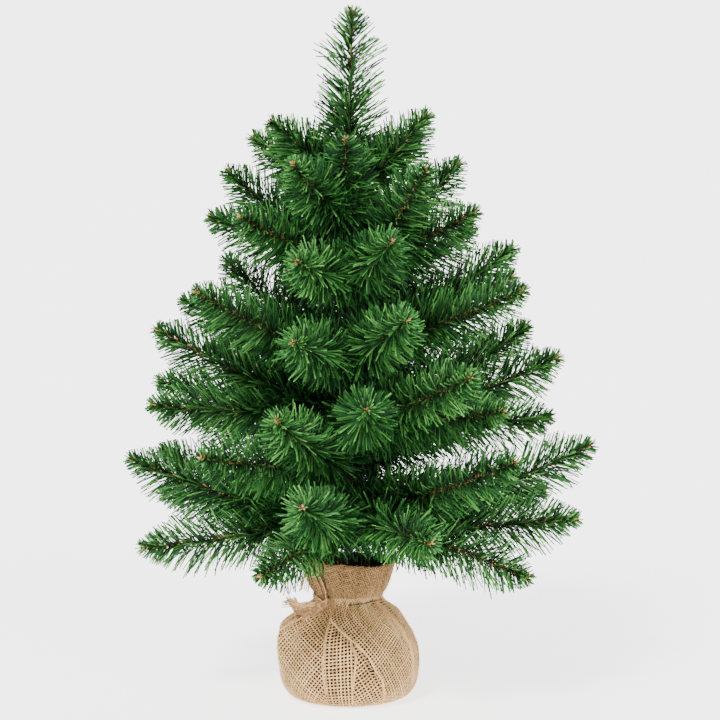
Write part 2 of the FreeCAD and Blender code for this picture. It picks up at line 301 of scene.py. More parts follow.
def grid_quads(rows, columns, closed=False):
    """The quads of a rows x columns grid of points, whose columns may close into a ring."""
    wide = columns if closed else columns - 1
    row, column = np.meshgrid(np.arange(rows - 1), np.arange(wide), indexing="ij")
    beside = (column + 1) % columns
    return np.stack([row * columns + column, row * columns + beside,
                     (row + 1) * columns + beside, (row + 1) * columns + column], -1).reshape(-1, 4)


def copies(quads, count, size):
    """The quads of one shape of so many points, for count shapes whose points follow each other."""
    return (quads[None] + (np.arange(count) * size)[:, None, None]).reshape(-1, 4)


def ring_angles(sides):
    return np.arange(sides) * 2 * math.pi / sides


def unit(vectors):
    return vectors / np.maximum(np.linalg.norm(vectors, axis=-1, keepdims=True), 1e-9)


def smoothstep(low, high, x):
    t = np.clip((x - low) / (high - low), 0, 1)
    return t * t * (3 - 2 * t)


def across(directions):
    """Two unit vectors square to each direction and to each other."""
    helper = np.where(np.abs(directions[..., 2:3]) > 0.9, [1.0, 0.0, 0.0], UP)
    side = unit(np.cross(helper, directions))
    return side, np.cross(directions, side)


def tubes(lines, radius, sides, flatness=1.0, normals=None):
    """Points and quads of tubes along many lines, given as an array (lines, steps, 3). flatness is the ratio
    of the tube's thickness, along the normals, to its width."""
    lines = np.asarray(lines, float)
    count, steps = lines.shape[:2]
    forward = unit(np.gradient(lines, axis=1))
    if normals is None:
        side, lift = across(forward)
    else:
        side = unit(np.cross(forward, normals))
        lift = np.cross(side, forward)
    angles = ring_angles(sides)
    radius = np.broadcast_to(np.asarray(radius, float), (count, steps))[..., None, None]
    ring = side[:, :, None] * np.cos(angles)[:, None] + flatness * lift[:, :, None] * np.sin(angles)[:, None]
    points = lines[:, :, None] + radius * ring
    return points.reshape(-1, 3), copies(grid_quads(steps, sides, closed=True), count, steps * sides)


def join(*parts):
    """Several (points, quads, values) groups as one; values are dicts with the same names."""
    offset, points, quads, values = 0, [], [], {}
    for part_points, part_quads, part_values in parts:
        points.append(part_points)
        quads.append(part_quads + offset)
        offset += len(part_points)
        for name, numbers in part_values.items():
            values.setdefault(name, []).append(np.broadcast_to(numbers, len(part_points)))
    return np.concatenate(points), np.concatenate(quads), {n: np.concatenate(v) for n, v in values.items()}


# Branches


# Where a branch's twigs fork, from its hinge.
HUB_REACH = 12.1
HUB_RISE = 3
TWIG_CONE = math.cos(math.radians(11))
SHORTEST_SHARE = 0.7
STEM_END_GAP = 4
STRIPS_PER_MM = 3.3
STRIP_WIDTH = 1.05
STRIP_RIDGE = 0.72
STRIP_STATIONS = np.linspace(0, 1, 4)
STRIP_POINTS = 3 * len(STRIP_STATIONS)
STRIP_LENGTH = 33
TIP_STRIP_LENGTH = 8
STRIP_ANGLE = 53
TIP_STRIP_ANGLE = 40
LENGTH_TAPER = 44
ANGLE_TAPER = 12
TANGLE_SHARE = 0.45
TANGLE_PER_MM = 2.4
TIP_CROWD_LENGTH = 28
TIP_CROWD_PER_MM = 1.3
ROOT_STRIPS = 34
SKIRT_TIER = 30
# Heights over which the painted shade near the trunk fades out into the open crown, and how dark that
# painted shade is.
CROWN_FOOT = 340
CROWN_TOP = 430
TRUNK_SHADE = 0.45
SKIRT_DROOP = 1.6
GOLDEN_TURN = math.radians(137.5)
FLECKS_PER_MM = 1.2
TIP_FLECKS = 16
STEM_STEP = 1.5
STEM_RADIUS = 0.85
STEM_TWIST = 2 * math.pi / 7
# How far needles stay off the cloth, and how far from the trunk they may hang into its open mouth.
CLOTH_GAP = 1.5
MOUTH_RADIUS = 26


def node_points(name):
    """A CAD node's vertices, in millimetres."""
    vertices = frame["nodes"][name].data.vertices
    points = np.empty(len(vertices) * 3, np.float32)
    vertices.foreach_get("co", points)
    return points.reshape(-1, 3).astype(float) / MM


def twig_spines(points, hub):
    """The centrelines of the twigs that fork at the hub, read from the CAD bulk of their needles: the bulk's
    farthest points are the tips, and its mean offset from the straight line is the sag."""
    offsets = points - hub
    reach = np.linalg.norm(offsets, axis=1)
    ways = offsets / np.maximum(reach, 1e-6)[:, None]
    loose = reach > SHORTEST_SHARE * reach.max()
    tips = []
    while loose.any():
        far = np.argmax(np.where(loose, reach, 0))
        end = loose & (ways @ ways[far] > TWIG_CONE) & (reach > reach[far] - 1.5)
        tips.append(points[end].mean(0))
        loose &= ways @ ways[far] < TWIG_CONE
    tips = np.array(tips)
    nearest = np.argmax(ways @ unit(tips - hub).T, axis=1)
    spines = []
    for index, tip in enumerate(tips):
        own = offsets[(nearest == index) & (reach > 12)]
        share = own @ (tip - hub) / ((tip - hub) @ (tip - hub))
        bow = 4 * share * (1 - share)
        sag = ((own - share[:, None] * (tip - hub)) * bow[:, None]).sum(0) / (bow ** 2).sum()
        spines.append((hub, tip, sag))
    return spines


def on_spine(spine, share):
    """Points and unit directions at shares of the way along a spine."""
    root, tip, sag = spine
    share = np.asarray(share)[:, None]
    points = root + share * (tip - root) + 4 * share * (1 - share) * sag
    return points, unit((tip - root) + 4 * (1 - 2 * share) * sag)


def spine_length(spine):
    points, _ = on_spine(spine, np.linspace(0, 1, 20))
    return np.linalg.norm(np.diff(points, axis=0), axis=1).sum()


def leaned(forward, turn, lean):
    """Ways straight out from a twig, at turns round it, and ways that lean from forward towards those."""
    side, lift = across(forward)
    outward = np.cos(turn)[:, None] * side + np.sin(turn)[:, None] * lift
    return outward, np.cos(lean)[:, None] * forward + np.sin(lean)[:, None] * outward


def strip_quads(count):
    return copies(grid_quads(len(STRIP_STATIONS), 3), count, STRIP_POINTS)


def strips(roots, ways, lengths, widths, rng, curl=0.5, droop=0.25):
    """Strips creased along their middles, each curled and twisted a little and cut square at its end."""
    count = len(roots)
    side, lift = across(ways)
    stations = STRIP_STATIONS[None, :, None]
    bend_way = rng.uniform(0, 2 * math.pi, count)[:, None]
    bend = (np.cos(bend_way) * side + np.sin(bend_way) * lift) * rng.normal(0, curl / 2, count)[:, None]
    bend = (bend - droop * UP)[:, None]
    share_of_full = np.minimum(lengths / STRIP_LENGTH, 1)[:, None, None] ** 2
    middle = roots[:, None] + lengths[:, None, None] * stations * ways[:, None]
    middle = middle + share_of_full * stations ** 2 * bend
    turn = rng.uniform(0, 2 * math.pi, count)[:, None] + rng.normal(0, 0.4, count)[:, None] * STRIP_STATIONS
    flat = np.cos(turn)[..., None] * side[:, None] + np.sin(turn)[..., None] * lift[:, None]
    half = 0.5 * widths[:, None, None] * flat
    ridge = STRIP_RIDGE * widths[:, None, None] * np.cross(ways[:, None], flat)
    points = np.stack([middle - half, middle + ridge, middle + half], 2)
    reach = np.broadcast_to(STRIP_STATIONS[None, :, None], points.shape[:3])
    return points.reshape(-1, 3), strip_quads(count), reach.ravel()


def per_point(numbers, points):
    """One number for each strip, repeated over its points."""
    return np.repeat(numbers, len(points) // len(numbers))


def twig_foliage(spine, light, rng, full_length=STRIP_LENGTH, start=3.0, density=STRIPS_PER_MM):
    """The needles of one twig, in a spiral round it; they lean, shorten and crowd towards its tip, and
    stand thicker and more tangled near the trunk, where painted shade makes them darker. light, from 0 to 1,
    is how light they are there: how much of that painted shade is lifted."""
    length = spine_length(spine)
    even = np.linspace(start, length - STEM_END_GAP, int((length - start - STEM_END_GAP) * density))
    inner = np.linspace(0, TANGLE_SHARE * length, int(TANGLE_SHARE * length * TANGLE_PER_MM))
    crowd = np.linspace(length - TIP_CROWD_LENGTH, length - STEM_END_GAP,
                        int(TIP_CROWD_LENGTH * TIP_CROWD_PER_MM))
    down = np.sort(np.concatenate([even + rng.normal(0, 0.3, len(even)), inner, crowd]))
    count = len(down)
    roots, forward = on_spine(spine, down / length)
    turn = np.arange(count) * GOLDEN_TURN + rng.normal(0, 0.35, count)
    to_end = length - STEM_END_GAP - down
    full = smoothstep(0, ANGLE_TAPER, to_end)
    near_trunk = 1 - smoothstep(0, TANGLE_SHARE, down / length)
    lean = TIP_STRIP_ANGLE + (STRIP_ANGLE + rng.normal(0, 3) - TIP_STRIP_ANGLE) * full
    lean = lean + rng.normal(0, 5, count)
    lean = lean + near_trunk * rng.uniform(-15, 45, count)
    stray = rng.random(count) < 0.03
    lean = np.radians(np.clip(np.where(stray, lean + rng.uniform(10, 30, count), lean), 6, 105))
    outward, ways = leaned(forward, turn, lean)
    lengths = TIP_STRIP_LENGTH + (full_length - TIP_STRIP_LENGTH) * np.clip(to_end / LENGTH_TAPER, 0, 1)
    trimmed = rng.random(count) < 0.35
    lengths = lengths * np.where(trimmed, rng.uniform(0.6, 0.95, count), rng.uniform(0.94, 1.06, count))
    lengths = lengths * (1 + 0.15 * near_trunk)
    widths = STRIP_WIDTH * rng.uniform(0.85, 1.12, count)
    points, quads, reach = strips(roots + 0.5 * outward, ways, lengths, widths, rng)
    tone = np.clip(rng.normal(0.57, 0.27, count) + rng.normal(0, 0.06), 0, 1)
    tone = np.where(rng.random(count) < 0.2, tone * 0.25, tone)
    # Painted shade near the trunk, lifted where light is high, in the open crown.
    tone = tone * (1 - TRUNK_SHADE * (1 - light) * near_trunk)
    return points, quads, {"tone": per_point(tone, points), "reach": reach}


def root_foliage(hinge, hub, skirt, light, rng):
    """The tangled needles where a branch leaves the trunk, which hide the trunk; skirt is how far they
    hang down, from 0 to 1, which they do on the lowest branches, and light is how light they are: they are
    darkened with painted shade, less of it as light nears 1."""
    count = int(ROOT_STRIPS * (1 + skirt))
    share = rng.uniform(0.1, 1.0, count)[:, None]
    roots = hinge + share * (hub - hinge)
    forward = unit(np.broadcast_to(hub - hinge, roots.shape))
    turn = rng.uniform(0, 2 * math.pi, count)
    _, ways = leaned(forward, turn, np.radians(rng.uniform(35, 100, count)))
    ways = unit(ways - skirt * rng.uniform(0, SKIRT_DROOP, (count, 1)) * UP)
    lengths = rng.uniform(20, 34, count) + 4 * skirt
    widths = STRIP_WIDTH * rng.uniform(0.85, 1.12, count)
    points, quads, reach = strips(roots, ways, lengths, widths, rng)
    # Painted shade: the tangle at the trunk is dark, lighter in the open crown.
    tone = rng.uniform(0, 0.36 + 0.4 * light, count)
    return points, quads, {"tone": per_point(tone, points), "reach": reach}


def twisted_stem(spine_points):
    """Two wires twisted together under film: a two-lobed tube that turns as it goes."""
    steps = len(spine_points)
    sides = 8
    forward = unit(np.gradient(spine_points, axis=0))
    side, lift = across(forward)
    travelled = np.concatenate([[0], np.cumsum(np.linalg.norm(np.diff(spine_points, axis=0), axis=1))])
    angles = ring_angles(sides)
    lobes = STEM_RADIUS * (1 + 0.3 * np.cos(2 * (angles[None] - STEM_TWIST * travelled[:, None])))
    ring = np.cos(angles)[None, :, None] * side[:, None] + np.sin(angles)[None, :, None] * lift[:, None]
    points = spine_points[:, None] + lobes[..., None] * ring
    return points.reshape(-1, 3), grid_quads(steps, sides, closed=True), {"tone": 0.5, "fleck": 0.0}


def stem_flecks(spine, rng):
    """Short brown ends of film along a twig, and the small brown tuft at its tip."""
    length = spine_length(spine)
    count = int((length - STEM_END_GAP) * FLECKS_PER_MM)
    down = np.concatenate([rng.uniform(2, length - STEM_END_GAP, count),
                           rng.uniform(length - STEM_END_GAP - 3, length - STEM_END_GAP, TIP_FLECKS)])
    at_tip = np.arange(count + TIP_FLECKS) >= count
    count += TIP_FLECKS
    roots, forward = on_spine(spine, down / length)
    turn = rng.uniform(0, 2 * math.pi, count)
    lean = np.radians(np.where(at_tip, rng.uniform(5, 50, count), rng.uniform(25, 70, count)))
    outward, ways = leaned(forward, turn, lean)
    lengths = np.where(at_tip, rng.uniform(2.5, 5, count), rng.uniform(1.6, 2.8, count))
    widths = rng.uniform(0.8, 1.3, count)
    points, quads, _ = strips(roots + 0.5 * outward, ways, lengths, widths, rng, curl=1, droop=0)
    tone = np.clip(rng.normal(0.45, 0.22, count) + 0.2 * at_tip, 0, 1)
    return points, quads, {"tone": per_point(tone, points), "fleck": 1.0}


def stem_points(spine):
    length = spine_length(spine)
    steps = max(int(length / STEM_STEP), 4)
    points, _ = on_spine(spine, np.linspace(0, 1 - STEM_END_GAP / length, steps))
    return points


def turned(points, joint, degrees):
    """Points of a branch after its hinge has turned."""
    axis = np.array(joint["axis"], float)
    hinge = np.array(joint["pos_m"]) / MM
    angle = math.radians(degrees)
    arms = points - hinge
    along = (arms @ axis)[:, None] * axis
    return hinge + along + (arms - along) * math.cos(angle) + np.cross(axis, arms) * math.sin(angle)


def in_cloth(points):
    """Which points lie in the sack's wall or inside its body. The collar's open mouth is free."""
    section = np.array(SACK_SECTION, float)
    outside = section[:np.argmax(section[:, 1]) + 1]
    reach, height = np.hypot(points[:, 0], points[:, 1]), points[:, 2]
    wall = np.interp(height, outside[:, 1], outside[:, 0]) + CLOTH_GAP
    near = (reach < wall) & (height < outside[-1, 1] + CLOTH_GAP)
    return near & ((reach > MOUTH_RADIUS) | (height < NECK_HEIGHT))


def clear_of_cloth(foliage, joint):
    """Leaves out the needles that would cut the cloth at rest or on the way to the branch's low limit."""
    points, _, values = foliage
    clear = np.ones(len(points) // STRIP_POINTS, bool)
    for share in (0, 0.5, 1):
        moved = turned(points, joint, share * joint["range_deg"][0])
        clear &= ~in_cloth(moved).reshape(-1, STRIP_POINTS).any(axis=1)
    kept = np.repeat(clear, STRIP_POINTS)
    return points[kept], strip_quads(clear.sum()), {name: numbers[kept] for name, numbers in values.items()}


def make_branch(joint, lowest, materials, rng):
    """One branch: its stems run from under its hinge out through its twigs, and its needles turn with the
    branch. lowest is the height of the lowest branch."""
    body = joint["child"]
    hinge = np.array(joint["pos_m"]) / MM
    outward = np.array([-joint["axis"][1], joint["axis"][0], 0.0])
    hub = hinge + HUB_REACH * outward + HUB_RISE * UP
    spines = twig_spines(node_points(f"{body}_needles"), hub)
    skirt = 1 - smoothstep(0, SKIRT_TIER, hinge[2] - lowest)
    # How much of the painted shade near the trunk is lifted: none low down, all of it in the open crown.
    light = smoothstep(CROWN_FOOT, CROWN_TOP, hinge[2])
    foliage = join(root_foliage(hinge, hub, skirt, light, rng),
                   *[twig_foliage(spine, light, rng) for spine in spines])
    foliage = clear_of_cloth(foliage, joint)
    leaves = to_mesh(f"{body}_foliage", foliage[0], foliage[1], materials["needles"], **foliage[2])
    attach(leaves, body)
    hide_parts(f"{body}_needles")
    root_turn = np.linspace(0, 1, 9)[:, None]
    foot = hinge - 3 * UP
    root = (1 - root_turn) ** 2 * foot + 2 * root_turn * (1 - root_turn) * hinge + root_turn ** 2 * hub
    parts = [twisted_stem(root)]
    for spine in spines:
        parts += [twisted_stem(stem_points(spine)), stem_flecks(spine, rng)]
    points, quads, values = join(*parts)
    stems = to_mesh(f"{body}_stems", points, quads, materials["stem"], **values)
    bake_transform(stems)
    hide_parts(f"{body}_wire")


# Leader


LEADER_STRIP_LENGTH = 35
LEADER_STRIPS_PER_MM = 2.7


def make_leader(joint, materials, rng):
    """The tree's upright tip, with longer needles."""
    body = joint["child"]
    root = np.array(joint["pos_m"]) / MM
    spine = twig_spines(node_points("leader_needles"), root)[0]
    points, quads, values = twig_foliage(spine, 1.0, rng, LEADER_STRIP_LENGTH, 2.0, LEADER_STRIPS_PER_MM)
    leaves = to_mesh("leader_foliage", points, quads, materials["needles"], **values)
    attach(leaves, body)
    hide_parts("leader_needles")
    points, quads, values = join(twisted_stem(stem_points(spine)), stem_flecks(spine, rng))
    stem = to_mesh("leader_stem", points, quads, materials["stem"], **values)
    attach(stem, body)
    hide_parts("leader_wire")


# Trunk


TAPE_TURN = 9.0
TAPE_LAP = 0.35


def make_trunk(materials):
    """The tape wound round the trunk: each turn lies on the edge of the one below it."""
    low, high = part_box("trunk_tape")
    radius = (high.x - low.x) / 2 / MM
    heights = np.arange(low.z / MM, high.z / MM, 0.6)
    sides = 28
    angles = ring_angles(sides)
    turns = heights[:, None] / TAPE_TURN - angles[None] / (2 * math.pi)
    radii = radius - TAPE_LAP * (turns % 1.0)
    points = np.stack([radii * np.cos(angles), radii * np.sin(angles),
                       np.broadcast_to(heights[:, None], radii.shape)], -1)
    tape = to_mesh("trunk_wrap", points, grid_quads(len(heights), sides, closed=True), materials["tape"])
    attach(tape, "base")
    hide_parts("trunk_tape")


# Burlap sack


# Half section of the cloth, from its foot up, over the rim and down inside the collar: (radius, height).
SACK_SECTION = [
    (24, 0.7), (36, 0.8), (44, 1.2), (52, 4.5), (57.5, 12), (60.2, 25), (60.4, 38), (58.5, 50), (53.5, 61),
    (44, 71), (33.5, 81), (28.0, 86), (27.4, 89), (30.3, 94), (33.6, 104), (36.0, 114), (37.2, 120.4),
    (36.2, 121.6), (34.8, 120), (32.8, 110), (29.6, 98), (26.2, 90.5),
]
NECK_HEIGHT = 87.5
COLLAR_FOOT = 92
YARN_SHARE = 0.185
YARN_FLATNESS = 0.6
BODY_TONE = 0.56
BODY_TONE_SPREAD = 0.17
COLLAR_TONE = 0.17
COLLAR_TONE_SPREAD = 0.07
WEAVE_LIFT = 0.4
YARN_STRAY = 0.13
SHADE_SHEET_DEPTH = 1.2
FOLD_ARC = 58
# The yarns stop short of the wall under each fold, where the dark sheet under them shows as a painted
# shadow.
FOLD_WALL = 0.4
WALL_PER_STAND = 0.08
COLLAR_ARC = 33
COLLAR_PITCH = 1.65
COLLAR_INSIDE = 16
SHADE_SHEET_SIDES = 384
EDGE_STEPS = 46
FOOT_PITCH = 3.0
THREAD_STEPS = 60
FUZZ_COUNT = 1500
COLLAR_FUZZ_SHARE = 0.55

# Folds of the cloth, each a line of (azimuth in degrees, height) from its top, and how far it stands out.
# The cloth on its right-hand side, seen from outside, lies over the cloth on its left.
FOLDS = [
    ([(-132, 88), (-150, 75), (-162, 64), (-163, 40), (-160, 14)], 6.0),
    ([(-114, 84), (-110, 62), (-111, 40), (-110, 14)], 3.6),
    ([(-90, 66), (-85, 48), (-87, 20)], 3.0),
    ([(-124, 88), (-86, 61), (-76, 49), (-71, 37), (-63, 25), (-57, 8)], 7.0),
    ([(-34, 84), (-27, 64), (-27, 40), (-22, 16)], 1.6),
    ([(12, 84), (20, 60), (24, 40), (20, 18)], 3.2),
    ([(66, 86), (86, 62), (98, 46), (106, 20)], 5.0),
    ([(118, 82), (128, 54), (124, 20)], 3.0),
    ([(156, 84), (166, 62), (166, 40), (172, 18)], 3.4),
]
# Panels of cloth between folds: the folds on the left and on the right by their places in FOLDS, how far
# the yarns slant from upright in degrees (to the right going down), and the pitch of the weave.
PANELS = [
    ([0], [1, 3], -38, 2.9),
    ([1], [2, 3], 3, 3.0),
    ([2], [3], 32, 3.0),
    ([3], [4], 33, 2.6),
    ([4], [5], 12, 2.5),
    ([5], [6], -8, 2.9),
    ([6], [7], 30, 2.8),
    ([7], [8], 4, 2.9),
    ([8], [0], -30, 2.7),
]
# Creases down the collar: azimuth in degrees and depth.
COLLAR_CREASES = [
    (-152, 2.6), (-130, 3.6), (-80, 1.8), (-48, 2.6), (-10, 2.5), (35, 3.0), (70, 2.4), (110, 3.0),
    (150, 2.4),
]
CREASE_WIDTH = 6.0
# Loose threads on the shoulder, most of them at the right, each through (azimuth, height) places.
LOOSE_THREADS = [
    [(-30, 86), (-24, 74), (-22, 62)],
    [(-42, 85), (-36, 72), (-26, 64), (-20, 55)],
    [(-36, 86), (-30, 76), (-32, 66), (-27, 58)],
    [(-60, 84), (-50, 76), (-40, 72)],
    [(140, 84), (146, 70), (152, 62)],
    [(60, 86), (54, 72), (58, 60)],
]


def fold_height(azimuth, height, line, stand):
    """How far one fold lifts the cloth: a long rise on its right, a sharp drop and a groove on its left."""
    x = np.radians(azimuth) * FOLD_ARC
    best = np.full(x.shape, 1e9)
    signed = np.zeros(x.shape)
    fade = np.zeros(x.shape)
    corners = [(math.radians(a) * FOLD_ARC, h) for a, h in line]
    for index, ((x0, z0), (x1, z1)) in enumerate(zip(corners, corners[1:])):
        run = np.array([x1 - x0, z1 - z0])
        long = run @ run
        share = np.clip(((x - x0) * run[0] + (height - z0) * run[1]) / long, 0, 1)
        dx, dz = x - x0 - share * run[0], height - z0 - share * run[1]
        distance = np.hypot(dx, dz)
        closer = distance < best
        side = np.sign(dz * run[0] - dx * run[1])
        signed = np.where(closer, side * distance, signed)
        fade = np.where(closer, (index + share) / (len(corners) - 1), fade)
        best = np.minimum(best, distance)
    rise = np.exp(-(signed / 13) ** 2)
    drop = np.exp(-(signed / 1.2) ** 2) - 0.3 * np.exp(-((signed + 3.6) / 4.0) ** 2)
    ends = smoothstep(0, 0.12, fade) * smoothstep(0, 0.4, 1 - fade)
    return stand * ends * np.where(signed > 0, rise, drop)


def section_at(distances):
    """Radius and height of the plain section at distances along it, rounded through its points."""
    section = np.array(SACK_SECTION, float)
    knots = np.concatenate([[0], np.cumsum(np.linalg.norm(np.diff(section, axis=0), axis=1))])
    slopes = np.gradient(section, knots, axis=0)
    distances = np.clip(distances, 0, knots[-1])
    index = np.clip(np.searchsorted(knots, distances, side="right") - 1, 0, len(knots) - 2)
    span = (knots[index + 1] - knots[index])[..., None]
    t = (distances - knots[index])[..., None] / span
    return ((1 + 2 * t) * (1 - t) ** 2 * section[index] + t * (1 - t) ** 2 * span * slopes[index]
            + t * t * (3 - 2 * t) * section[index + 1] + t * t * (t - 1) * span * slopes[index + 1])


def section_length():
    return np.linalg.norm(np.diff(np.array(SACK_SECTION, float), axis=0), axis=1).sum()


def rim_distance():
    """How far along the section the top of the collar is."""
    distances = np.linspace(0, section_length(), 2000)
    return distances[np.argmax(section_at(distances)[:, 1])]


def pleats(azimuth, counts, phases, sharpness=1.0):
    """Uneven pleats round the cloth, from -1 in a groove to about 1 on a ridge."""
    angle = np.radians(azimuth)
    total = np.zeros(angle.shape)
    for count, phase in zip(counts, phases):
        total += np.abs(np.sin(0.5 * count * angle + phase)) ** sharpness
    return 2 * total / len(counts) - 1


def sack_surface(turn, distance, inset=0.0):
    """Points and outward normals of the gathered cloth at turns (0 to 1 round it) and distances up it."""
    def place(turn, distance):
        azimuth = turn * 360 - 180
        radius, height = np.moveaxis(section_at(distance), -1, 0)
        left = np.cos(np.radians(azimuth - 180))
        radius = radius + 4.0 * np.clip(left, 0, 1) * np.exp(-((height - 64) / 11) ** 2)
        radius = radius - 3.0 * np.clip(-left, 0, 1) * np.exp(-((height - 62) / 10) ** 2)
        neck = np.exp(-((height - NECK_HEIGHT) / 5.5) ** 2)
        shoulder = smoothstep(48, 80, height) * (1 - smoothstep(84, 92, height))
        collar = smoothstep(88, 104, height)
        radius = radius + 3.2 * shoulder * pleats(azimuth, (15, 26, 11), (0.4, 1.3, 2.2), 0.8)
        radius = radius + 1.3 * neck * pleats(azimuth, (15, 26, 37), (0.4, 1.3, 0.2))
        radius = radius + 3.4 * collar * pleats(azimuth, (6, 11, 17), (1.1, 0.3, 2.0), 0.8)
        creased = smoothstep(NECK_HEIGHT, NECK_HEIGHT + 10, height)
        for middle, depth in COLLAR_CREASES:
            radius = radius - depth * creased * np.exp(-((azimuth - middle) / CREASE_WIDTH) ** 2)
        radius = radius + 1.6 * collar * smoothstep(100, 121, height) * np.cos(np.radians(2 * azimuth + 40))
        belly = smoothstep(1.5, 8, height) * (1 - smoothstep(76, 86, height))
        for line, stand in FOLDS:
            radius = radius + belly * fold_height(azimuth, height, line, stand)
        height = height + 1.4 * collar * np.sin(np.radians(azimuth * 3 + 50)) * smoothstep(104, 121, height)
        angle = np.radians(azimuth)
        return np.stack([radius * np.cos(angle), radius * np.sin(angle), height], -1)

    points = place(turn, distance)
    step = 0.4
    along = place(turn, distance + step) - place(turn, distance - step)
    round_way = place(turn + 0.0006, distance) - place(turn - 0.0006, distance)
    normals = unit(np.cross(round_way, along))
    return points - inset * normals, normals


def seam_azimuth(fold, height):
    """The azimuth of a fold at a height."""
    azimuths, heights = zip(*FOLDS[fold][0][::-1])
    return np.interp(height, heights, azimuths)


def fold_wall(fold, height):
    """How wide the steep wall under a fold is at a height, in degrees; it fades out at the fold's ends."""
    line, stand = FOLDS[fold]
    top, foot = line[0][1], line[-1][1]
    shown = smoothstep(foot + 4, foot + 30, height) * (1 - smoothstep(top - 6, top, height))
    return math.degrees((FOLD_WALL + WALL_PER_STAND * stand) / FOLD_ARC) * shown


def panel_limits(lefts, rights, height):
    """A panel's left and right azimuths at a height; it stops short of the wall under the next fold."""
    left = np.max([seam_azimuth(fold, height) for fold in lefts], axis=0)
    right = np.min([seam_azimuth(fold, height) - fold_wall(fold, height) for fold in rights], axis=0)
    return left, np.where(right < left - 180, right + 360, right)


def yarn_spans(corners, arc, slant, pitch, rng):
    """Every stretch of yarn from one crossing to the next in a slanting weave that covers the area between
    two corners (azimuth, distance): azimuths and distances at its ends and middle, and its lift off the
    cloth's mid surface there."""
    slant = math.radians(slant)
    (left, low), (right, high) = corners
    reach = int((math.radians(right - left) * arc + high - low) / pitch / 1.3) + 2
    i, j = np.meshgrid(np.arange(-reach, reach + 1), np.arange(-reach, reach + 1), indexing="ij")
    p, q = i * pitch, j * pitch
    u = p * math.cos(slant) - q * math.sin(slant) + 0.7 * np.sin(q / 19 + slant)
    v = p * math.sin(slant) + q * math.cos(slant) + 0.9 * np.sin(p / 15 + slant)
    u = u + rng.normal(0, YARN_STRAY, i.shape)
    v = v + rng.normal(0, YARN_STRAY, i.shape)
    azimuth = (left + right) / 2 + np.degrees(u / arc)
    distance = (low + high) / 2 + v
    over = np.where((i + j) % 2 == 0, WEAVE_LIFT, -WEAVE_LIFT)
    families = []
    for lift, axis in ((over, 1), (-over, 0)):
        a, d, h = (between(values, axis) for values in (azimuth, distance, lift))
        yarns = np.arange(len(i))
        number = np.broadcast_to(yarns[:, None] if axis == 1 else yarns[None], i.shape)
        a, d, h = (np.moveaxis(values, axis, 1) for values in (a, d, h))
        number = np.moveaxis(number, axis, 1)[:, :-1]
        spans = [np.stack([x[:, 0:-2:2], x[:, 1:-1:2], x[:, 2::2]], -1).reshape(-1, 3) for x in (a, d, h)]
        families.append((*spans, number.ravel()))
    return families


def between(values, axis):
    """Values with their midpoints put in between along an axis."""
    values = np.moveaxis(values, axis, 0)
    finer = np.empty((2 * len(values) - 1, *values.shape[1:]))
    finer[0::2] = values
    finer[1::2] = (values[:-1] + values[1:]) / 2
    return np.moveaxis(finer, 0, axis)


def yarn_tubes(azimuth, distance, lift, number, pitch, tone, spread, rng):
    """Tubes for stretches of yarn; stretches of one yarn share its tone, near a mean one, and its width."""
    points, normals = sack_surface((azimuth + 180) / 360, distance)
    tones = tone + spread * np.clip(rng.normal(0, 1, number.max() + 1), -2, 2)
    widths = YARN_SHARE * pitch * rng.uniform(0.8, 1.15, number.max() + 1)
    tube_points, quads = tubes(points + lift[..., None] * normals, widths[number][:, None], 6, YARN_FLATNESS,
                               normals)
    mottled = np.repeat(tones[number] + rng.normal(0, 0.08, len(number)), 3 * 6)
    return tube_points, quads, {"tone": np.clip(mottled, 0, 1)}


def panel_yarns(panel, rng):
    """The two families of yarn of one body panel, gathered in to its folds at its sides."""
    lefts, rights, slant, pitch = panel
    top = height_distance(COLLAR_FOOT)
    heights = np.linspace(0, COLLAR_FOOT, 30)
    left, right = panel_limits(lefts, rights, heights)
    corners = ((left.min(), 0.0), (right.max(), top))
    groups = []
    for azimuth, distance, lift, number in yarn_spans(corners, FOLD_ARC, slant, pitch, rng):
        left, right = panel_limits(lefts, rights, section_at(distance)[..., 1])
        inside = (azimuth > left) & (azimuth < right) & (distance > 0) & (distance < top)
        kept = inside[:, 0] | inside[:, 2]
        kept &= (left < right).all(1)
        azimuth = np.clip(azimuth, left, np.maximum(left, right))[kept]
        distance = np.clip(distance, 0, top)[kept]
        groups.append(yarn_tubes(azimuth, distance, lift[kept], number[kept], pitch, BODY_TONE,
                                 BODY_TONE_SPREAD, rng))
    return groups


def collar_yarns(rng):
    """The two families of yarn of the collar: closer, browner, over the rim and a little way down inside."""
    low, high = height_distance(COLLAR_FOOT), rim_distance() + COLLAR_INSIDE
    groups = []
    for azimuth, distance, lift, number in yarn_spans(((-180, low), (180, high)), COLLAR_ARC, 24,
                                                      COLLAR_PITCH, rng):
        inside = (np.abs(azimuth[:, 1]) <= 180) & (distance[:, 1] > low) & (distance[:, 1] < high)
        groups.append(yarn_tubes(azimuth[inside], np.clip(distance[inside], low, high), lift[inside],
                                 number[inside], 1.3 * COLLAR_PITCH, COLLAR_TONE, COLLAR_TONE_SPREAD, rng))
    return groups


